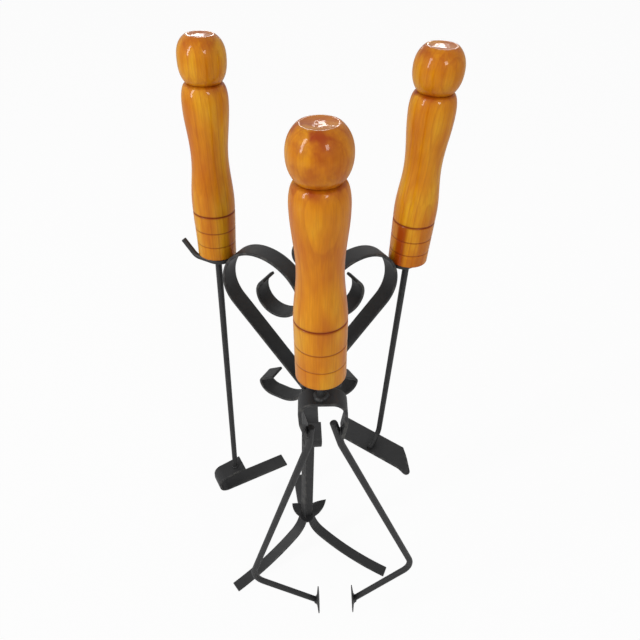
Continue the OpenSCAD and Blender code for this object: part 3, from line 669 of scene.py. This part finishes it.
# ---- Handles ----------------------------------------------------------------------------
def handle_profile(i):
    """Radius and height of handle i: a rounded foot, cosine waves between the
    swells, a quarter-ellipse shoulder, and a ball of radius
    R (1 - |u|^p)^(1/p) at u half-heights from its middle, where the lower
    half is as high as brings it to the neck, then a rounded rim and a hollow top."""
    foot = np.radians(np.linspace(0, 90, 8))
    fine = [groove + np.linspace(-3, 3, 31) for groove in GROOVES[i]]
    z = np.unique(np.concatenate([np.linspace(1.2, BELLY_Z, 75)] + fine))
    knots = [0, SWELL_Z, WAIST_Z, BELLY_Z]
    sizes = np.array([FOOT_R[i], SWELL_R, WAIST_R, BELLY_R])
    k = np.clip(np.searchsorted(knots, z, side="right") - 1, 0, 2)
    t = (z - np.take(knots, k)) / (np.take(knots, k + 1) - np.take(knots, k))
    body = sizes[k] + (sizes[k + 1] - sizes[k]) * (1 - np.cos(np.pi * t)) / 2
    cut = sum(depth * np.exp(-((z - g) / 0.8) ** 2) for g, depth in zip(GROOVES[i], (0.3, 0.35, 0.6)))
    turn = np.radians(np.linspace(4, 76, 18))
    shoulder_z = BELLY_Z + (NECK_Z - BELLY_Z) * np.sin(turn)
    shoulder = NECK_R + (BELLY_R - NECK_R) * np.cos(turn)
    notch_r, notch_z = NECK_R - 1.3, NECK_Z + 0.7
    size, power = BALL_SIZE[i], BALL_POWER[i]
    low = (1 - ((NECK_R - 0.2) / size) ** power) ** (1 / power)
    u = np.concatenate([np.linspace(-low, 0, 24), np.linspace(0, BALL_CUT[i], 24)[1:]])
    ball_z = BALL_MID[i] + u * np.where(u < 0, (BALL_MID[i] - NECK_Z - 1.4) / low, BALL_HALF[i])
    ball = size * (1 - np.abs(u) ** power) ** (1 / power)
    rim = np.radians(np.linspace(25, 90, 6))
    rim_r, rim_z = ball[-1] - 1.6 + 1.6 * np.cos(rim), ball_z[-1] - 0.4 + 1.0 * np.sin(rim)
    flat = np.linspace(ball[-1] - 1.9, 0.5, 12)
    hollow = 0.75 * (1 - (flat / flat[0]) ** 2)
    r = np.concatenate([FOOT_R[i] - 1 + np.sin(foot), body - cut, shoulder, [notch_r], ball, rim_r, flat])
    height = np.concatenate([1 - np.cos(foot), z, shoulder_z, [notch_z], ball_z, rim_z, rim_z[-1] - hollow])
    return r, height


def make_handle(i, body, name, node, turn, offset):
    """A turned handle, out of round by a sum of waves up and around it. Its grain
    runs along it, in coordinates of its own blank: turn is the blank's turn and
    offset the place of the handle's axis from the tree's pith."""
    r, z = handle_profile(i)
    a = around(144)
    rng = np.random.default_rng(60 + i)
    lump = np.zeros((len(z), 144))
    for k in (1, 2, 3, 4, 5):
        swing = np.cos(k * a + rng.uniform(0, 2 * np.pi))
        lump += swing * np.sin(z[:, None] / rng.uniform(5, 12) + rng.uniform(0, 2 * np.pi))
    radius = r[:, None] * (1 - 0.004 * (1 + lump / 3))
    grid = np.stack([radius * np.cos(a), radius * np.sin(a), np.tile(z[:, None], 144)], -1)
    # Burned dark in the grooves, the neck and the foot's edge
    low, middle, top = GROOVES[i]
    burn = 0.35 * np.exp(-z / 0.8)
    for at, depth, width in [(low, 0.6, 0.7), (middle, 0.7, 0.75), (top, 0.95, 1.2),
                             (NECK_Z + 0.5, 0.6, 1.1)]:
        burn += depth * np.exp(-((z - at) / width) ** 2)
    # Stain gathered at the foot, on the ball, in the neck, on the top's rim and by the
    # top groove, more on one side than on the other
    stain = 0.25 * np.exp(-z / 3) + BALL_STAIN[i] * np.exp(-((z - 185) / 16) ** 4)
    for at, depth, width in [(NECK_Z, 0.9, 5), (HANDLE_LEN - 3, 0.75, 6), (top, 0.25, 3)]:
        stain += depth * np.exp(-((z - at) / width) ** 2)
    patchy = 0.65 + 0.35 * np.cos(a + turn)
    blank = moved(*offset) @ turned("y", 2.2) @ turned("z", np.degrees(turn))
    # A strip of painted shade down one side of the base, fading out at the top groove
    side, width, depth = PAINTED_SHADE_STRIP[i]
    strip = depth * np.exp(-((np.degrees(a) - side) / width) ** 4)
    below = 1 / (1 + np.exp(z - top))
    skin = {"grid": grid, "grain": placed({"grid": grid}, blank)["grid"] * MM,
            "burn": np.clip(burn, 0, 1)[:, None] * np.ones(144),
            "stain": stain[:, None] * patchy, "painted_shade": below[:, None] * strip}
    piece(name, body, [placed(skin, hang(i))], [node], PINE, sharp=60)


# ---- Tongs ------------------------------------------------------------------------------
def make_tongs():
    """Rod, crown of the bow, and the weld that joins them."""
    m = hang(FRONT)
    rod = swept(upright(-BOW_DROP - 0.5, TANG - 1), ROUND, 50)
    piece("tongs_rod_round", "tongs", [placed(rod, m)], ["tongs_rod"])
    start = (BOW_HALF, -BOW_DROP - BAR_T / 2 - BOW_R, 90)
    crown = swept(bar_frames(start, [(BOW_R, 90), (2 * (BOW_HALF - BOW_R), 0), (BOW_R, 90)]), FLAT, 51)
    crown = placed(crown, m @ moved(0, BOW_SIDE, 0) @ turned("z", 90))
    piece("tongs_bow_crown", "tongs", [crown], ["tongs_bow"])
    # Weld run round the rod's foot: a low quarter-ellipse, its radius lumpy
    t, a = np.radians(np.linspace(0, 86, 14)), around(96)
    heap = lathed(3.3 + 3.6 * np.cos(t), -BOW_DROP - 0.3 + 3.2 * np.sin(t))
    heap["grid"][..., :2] *= (1 + 0.07 * np.cos(3 * a + 1) + 0.03 * np.cos(7 * a))[:, None]
    piece("tongs_rod_weld", "tongs", [placed(heap, m)])


def make_half(i):
    """One half below the crown: leg of the bow, bent rod, gripping disc."""
    m, name = half(i), SIDES[i]
    body = f"tongs_{name}"
    # The leg starts up inside the crown's end, so the bow shows no seam
    path = [(LEG_HIDDEN + SLIT / 2 + BOW_LEG, 0), TOE_BEND, TOE]
    spring = swept(bar_frames((0, LEG_HIDDEN, -90), path), FLAT, 52 + i)
    piece(f"tongs_spring_{name}_bar", body, [placed(spring, m)], [f"tongs_spring_{name}"])

    # The rod runs down by knee and elbow to the disc. A bend of radius r by angle t
    # takes r tan(t / 2) off the straights before and after it
    knee = np.array([KNEE_X, 0, KNEE_Z])
    lead, upper, foot = [np.array([np.sin(np.radians(a)), 0, np.cos(np.radians(a))])
                         for a in (ROOT_LEAN[i], SPLAY, FOOT_SLOPE[i])]
    elbow = knee - ARM_UPPER[i] * upper
    foot_len = (GRIP_X - elbow[0]) / foot[0]
    grip_z = elbow[2] - foot_len * foot[2]
    root_cut = ROOT_BEND * np.tan(np.radians(SPLAY - ROOT_LEAN[i]) / 2)
    elbow_cut = ARM_BEND * np.tan(np.radians(SPLAY + FOOT_SLOPE[i]) / 2)
    rod = rod_frames([(ROOT_UP[i] + ROOT_DOWN - root_cut, ROOT_BEND, SPLAY - ROOT_LEAN[i], 0),
                      (ARM_UPPER[i] - root_cut - elbow_cut, ARM_BEND, SPLAY + FOOT_SLOPE[i], 180),
                      (foot_len - elbow_cut, 0, 0, 0)])
    top = moved(*(knee + (ROOT_UP[i] + ROOT_DOWN) * lead))
    arm = placed(swept(rod, ROUND, 54 + i), top @ turned("y", 180 + ROOT_LEAN[i]))
    # Its last rings slide on to end in one plane, 1.2 mm inside the disc
    way = unit(arm["grid"][-8].mean(0) - arm["grid"][-20].mean(0))
    end = arm["grid"][-END:]
    end += ((GRIP_X + 1.2 - end[..., 0]) / way[0])[..., None] * way
    piece(f"tongs_arm_{name}_rod", body, [placed(arm, m)], [f"tongs_arm_{name}"])

    # Gripping face, rounded rim, back that thins outwards, and the weld's cone
    rim = np.radians(np.linspace(90, -70, 9))
    rim_r, rim_x = DISC_R - 0.6 + 0.6 * np.cos(rim), -0.6 + 0.6 * np.sin(rim)
    r = np.concatenate([[0.5, 5, 10], rim_r, [12, 8.5, 6.6, 5.4, 4.6, 4.0, 3.0]])
    x = np.concatenate([[0, 0, 0], rim_x, [-1.7, -2.2, -2.6, -3.4, -4.4, -5.6, -6.0]])
    disc = lathed(r[::-1], x[::-1] + DISC_T + GRIP_X)
    disc = placed(disc, m @ moved(0, 0, grip_z) @ turned("y", 90))
    piece(f"tongs_disc_{name}_plate", body, [disc], [f"tongs_disc_{name}"], sharp=30)

    beads = []
    for dy in (-2.9, 2.9):
        mid = knee + ROOT_DOWN * lead + [-1.9, dy, 0]
        ends = mid + (ROOT_UP[i] - 2) * lead, mid - 6 * lead
        beads.append(straight_bead(*ends, 1.7, m, side=(1, 0, 0)))
    piece(f"tongs_{name}_welds", body, beads)


# ---- Scraper ----------------------------------------------------------------------------
def make_scraper():
    """Rod, a blade of flat bar bent back under itself, and a bead round the rod's foot."""
    m = hang(LEFT)
    rod = swept(upright(-SCRAPER_LEN, TANG - 1), ROUND, 70)
    piece("scraper_rod_round", "scraper", [placed(rod, m)], ["scraper_rod"])
    m = m @ turned("z", SCRAPER_TURN)
    slope = np.tan(np.radians(FLANGE_TILT))
    start = (FLANGE_OVER, FLANGE_OVER * slope - SCRAPER_LEN, 180 + FLANGE_TILT)
    blade = swept(bar_frames(start, SCRAPER_PATH), flat_section(SCRAPER_W, BAR_T), 71)
    # The flange is beaten out: 15% wider up to the bend, easing off to the bar's own width
    blade["grid"][..., 1] *= np.interp(np.arange(len(blade["grid"])), [24, 48], [1.15, 1])[:, None]
    piece("scraper_blade_bar", "scraper", [placed(blade, m)], ["scraper_blade"])
    # The bead is a circle laid on the sloping flange
    a, radius = around(72), 3.7
    x, y = radius * np.cos(a), radius * np.sin(a)
    foot = np.stack([x, y, 2.1 + slope * x - SCRAPER_LEN], 1)
    piece("scraper_rod_weld", "scraper", [placed(bead(foot, 1.2, closed=True), m)])


# ---- Shovel -----------------------------------------------------------------------------
def shovel_edge():
    """The blade's outline from above, anticlockwise: each corner is an arc
    between two headings, and straights join the arcs. Returns points and the
    directions out from them. The straight past the point's arc, of radius r
    about m, heads to the far corner c and touches the arc where the direction
    out is atan2(c - m) - acos(r / |c - m|)."""
    point = np.array([SHOVEL_FRONT - SHOVEL_ROUND, SHOVEL_ROUND - SHOVEL_NEAR])
    to = np.array([SHOVEL_CORNER, SHOVEL_FAR]) - point
    slant = np.degrees(np.arctan2(to[1], to[0]) - np.arccos(SHOVEL_ROUND / np.hypot(*to)))
    # The far corner's small arc touches the slanted edge and the long edge
    small, half_turn = 1.5, np.radians(90 - slant) / 2
    corner = [SHOVEL_CORNER - small * np.tan(half_turn), SHOVEL_FAR - small]
    arcs = [([-SHOVEL_BACK + small, SHOVEL_FAR - small], small, 90, 180),
            ([-SHOVEL_BACK + small, small - SHOVEL_NEAR], small, 180, 270),
            (point, SHOVEL_ROUND, 270, 360 + slant), (corner, small, 360 + slant, 450)]
    points, outs = [], []
    for mid, r, start, end in arcs:
        a = np.radians(np.linspace(start, end, 10))
        outs.append(np.stack([np.cos(a), np.sin(a)], 1))
        points.append(mid + r * outs[-1])
    points = np.concatenate(points + [points[0][:1]])
    outs = np.concatenate(outs + [outs[0][:1]])
    # A point every 1.5 mm, besides those of the arcs
    run = lengths(points)
    s = np.unique(np.concatenate([run[:-1], np.arange(0, run[-1], 1.5)]))
    edge, out = [np.stack([np.interp(s, run, line[:, i]) for i in (0, 1)], 1) for line in (points, outs)]
    return edge, unit(out)


def make_shovel():
    """Rod bent to lie on the blade, and the blade: its outline drawn in towards
    the middle for the top, round the edge and the same below, with one end bent down."""
    m = hang(RIGHT) @ turned("z", SHOVEL_TURN)
    lying_z = -SHOVEL_LEN + ROD_D / 2 - 0.5
    rod = swept(rod_frames([(TANG - lying_z - SHOVEL_R, SHOVEL_R, 90, 0),
                            (SHOVEL_NEAR - LYING_END - SHOVEL_R, 0, 0, 0)]), ROUND, 80)
    rod = placed(rod, m @ moved(0, 0, TANG) @ turned("z", 90) @ turned("y", 180))
    piece("shovel_rod_round", "shovel", [rod], ["shovel_rod"])

    edge, out = shovel_edge()
    soft, thick = 0.8, SHOVEL_T / 2
    rim = np.radians(np.linspace(90, 0, 5))[1:, None, None]
    share = np.linspace(0.02, 1, 22)[:, None, None]
    core = edge - soft * out
    middle = core.mean(0)
    top = np.concatenate([middle + share * (core - middle), core + soft * np.cos(rim) * out])
    high = np.concatenate([np.full(22, thick), thick - soft + soft * np.sin(rim).ravel()])
    x, y = np.moveaxis(np.concatenate([top, top[::-1]]), -1, 0)
    h = np.concatenate([high, -high[::-1]])[:, None]
    # Past tip_x the plate bends down on an arc, then runs straight
    drop = np.radians(TIP_DROP)
    tip_x = SHOVEL_FRONT - TIP_BEND_R * np.sin(drop) - TIP_LEN * np.cos(drop)
    past = x - tip_x
    a = np.arcsin(np.clip(past / TIP_BEND_R, 0, np.sin(drop)))
    sink = TIP_BEND_R * (1 - np.cos(a)) + np.maximum(past - TIP_BEND_R * np.sin(drop), 0) * np.tan(drop)
    grid = np.stack([x + (h - thick) * np.sin(a), y, -SHOVEL_LEN - thick - sink + h * np.cos(a)], -1)
    worn = np.concatenate([np.zeros(20), np.ones(12), np.zeros(20)])[:, None] * np.ones(len(edge))
    piece("shovel_blade_plate", "shovel", [placed({"grid": grid[::-1], "worn": worn}, m)], ["shovel_blade"])

    z = -SHOVEL_LEN + 0.9
    beads = [straight_bead([x, -13, z], [x, LYING_END - SHOVEL_NEAR, z], 1.1, m, side=(1, 0, 0))
             for x in (-2.8, 2.8)]
    piece("shovel_rod_welds", "shovel", beads)


make_post()
make_bars()
make_collar()
make_hooks()
make_stand_welds()
make_handle(FRONT, "tongs", "tongs_handle_turned", "tongs_handle", 0.4, (30, 18, 0))
make_handle(LEFT, "scraper", "scraper_handle_turned", "scraper_handle", 2.1, (-42, 12, 300))
make_handle(RIGHT, "shovel", "shovel_handle_turned", "shovel_handle", 4.0, (26, -35, 700))
make_tongs()
make_half(LEFT)
make_half(RIGHT)
make_scraper()
make_shovel()


# ---- Floor, light and picture -------------------------------------------------------------
def to_the_eye(tree):
    """1 for rays that the eye sees, also through glass, and 0 for those that are
    mirrored or carry light, so that what the varnish mirrors is the lit room."""
    path = add(tree, "LightPath").outputs
    return add(tree, "Math", {0: path["Is Camera Ray"], 1: path["Is Transmission Ray"]},
               operation="MAXIMUM").outputs[0]


def white_paper(shade):
    """Matt white paper. To the eye it is mostly plain white, and the share called
    shade is lit, which keeps the object's shadow."""
    material, tree = new_material("white_paper")
    share = add(tree, "Math", {0: to_the_eye(tree), 1: 1 - shade}, operation="MULTIPLY").outputs[0]
    lit = add(tree, "BsdfDiffuse", {"Color": colour("#e8e8e8"), "Roughness": 1.0})
    glow = add(tree, "Emission", {"Color": (1, 1, 1, 1), "Strength": 1.0})
    mix = add(tree, "MixShader", {0: share, 1: lit.outputs[0], 2: glow.outputs[0]})
    add(tree, "OutputMaterial", {"Surface": mix.outputs[0]})
    return material


def make_floor():
    """A square of paper, 18 m a side."""
    mesh = bpy.data.meshes.new("floor")
    end = 9.0
    corners = [(-end, -end, 0), (end, -end, 0), (end, end, 0), (-end, end, 0)]
    mesh.from_pydata(corners, [], [(0, 1, 2, 3)])
    mesh.materials.append(white_paper(0.06))
    put("floor", mesh)


def lamp(name, size, power, at, to):
    """A soft box: a rectangle of light at one point, facing another."""
    data = bpy.data.lights.new(name, "AREA")
    data.shape, data.size, data.size_y, data.energy = "RECTANGLE", size[0], size[1], power
    way = unit(np.subtract(to, at))
    side = unit(np.cross(way, [0, 0, 1]))
    put(name, data, facing(side, np.cross(side, way), -way, at))


def make_light():
    """A tall window at the left, a small one in front, and a pale sky. Three slim
    panes behind are each mirrored in the top of one handle."""
    lamp("window_left", (0.3, 1.5), 20, (-1.6, -0.9, 1.4), (0, 0, 0.4))
    for side, at, to in [("left", (-0.308, 1.53, 0.93), (-0.094, 0.069, 0.66)),
                         ("right", (0.422, 1.46, 1.07), (0.104, 0.05, 0.66)),
                         ("front", (0.002, 1.29, 1.17), (0, -0.123, 0.66))]:
        lamp(f"pane_{side}", (0.03, 0.3), 0.32, at, to)
    lamp("window_front", (0.35, 0.5), 7, (0.7, -1.5, 1.5), (0, 0, 0.4))
    world = bpy.data.worlds.new("studio")
    bpy.context.scene.world = world
    world.use_nodes = True
    tree = world.node_tree
    tree.nodes.clear()
    strength = add(tree, "MapRange", {"Value": to_the_eye(tree), "To Min": 0.5, "To Max": 1.0}).outputs[0]
    sky = add(tree, "Background", {"Color": (1, 1, 1, 1), "Strength": strength})
    add(tree, "OutputWorld", {"Surface": sky.outputs[0]})


make_floor()
make_light()
bpy.context.scene.view_settings.view_transform = "Standard"
